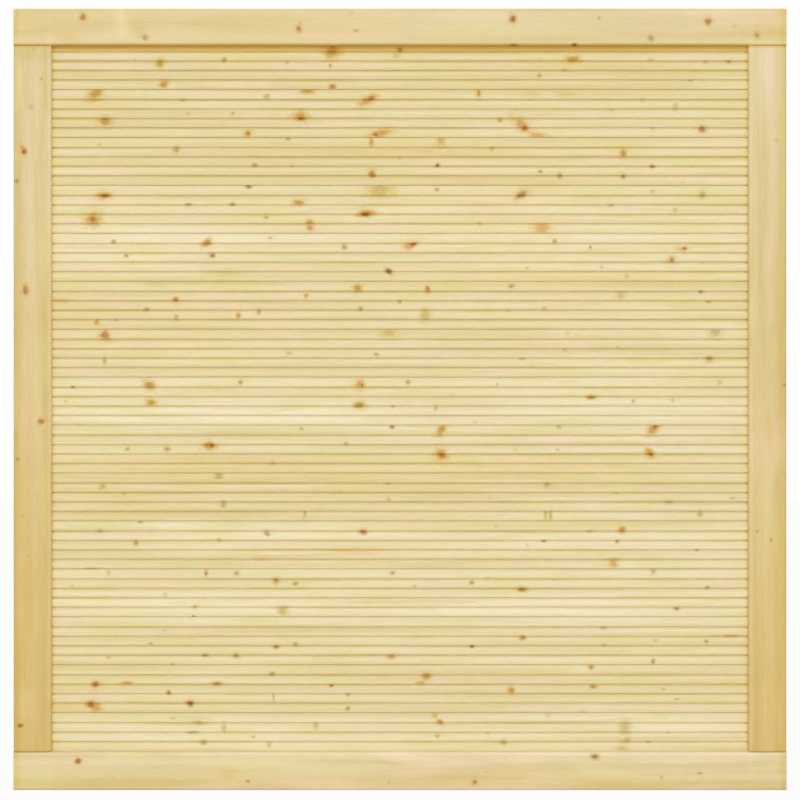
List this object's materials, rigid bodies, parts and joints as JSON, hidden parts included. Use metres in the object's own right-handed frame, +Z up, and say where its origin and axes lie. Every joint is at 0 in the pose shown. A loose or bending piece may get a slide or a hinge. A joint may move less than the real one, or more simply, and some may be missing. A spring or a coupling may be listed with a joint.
{
  "type": "fence panel",
  "caption": "Flat privacy fence panel: horizontal ribbed softwood boards, tongued and grooved, held in a grooved timber frame with rounded edges and screwed corners.",
  "frame": {"origin": "middle of the bottom rail's lower edge, at the middle of the frame's thickness", "axes": "+Z up, +X to the right seen from the ribbed front, -Y towards the ribbed front"},
  "size_m": [1.8, 0.045, 1.82],
  "materials": {
    "frame_wood": "planed",
    "board_wood": "planed",
    "screw_steel": "zinc"
  },
  "bodies": {
    "root": {"top_rail": "frame_wood", "bottom_rail": "frame_wood", "left_stile": "frame_wood", "right_stile": "frame_wood", "board_01": "board_wood", "board_02": "board_wood", "board_03": "board_wood", "board_04": "board_wood", "board_05": "board_wood", "board_06": "board_wood", "board_07": "board_wood", "board_08": "board_wood", "board_09": "board_wood", "board_10": "board_wood", "board_11": "board_wood", "board_12": "board_wood", "board_13": "board_wood", "board_14": "board_wood", "board_15": "board_wood", "corner_screws": "screw_steel"}
  },
  "joints": []
}
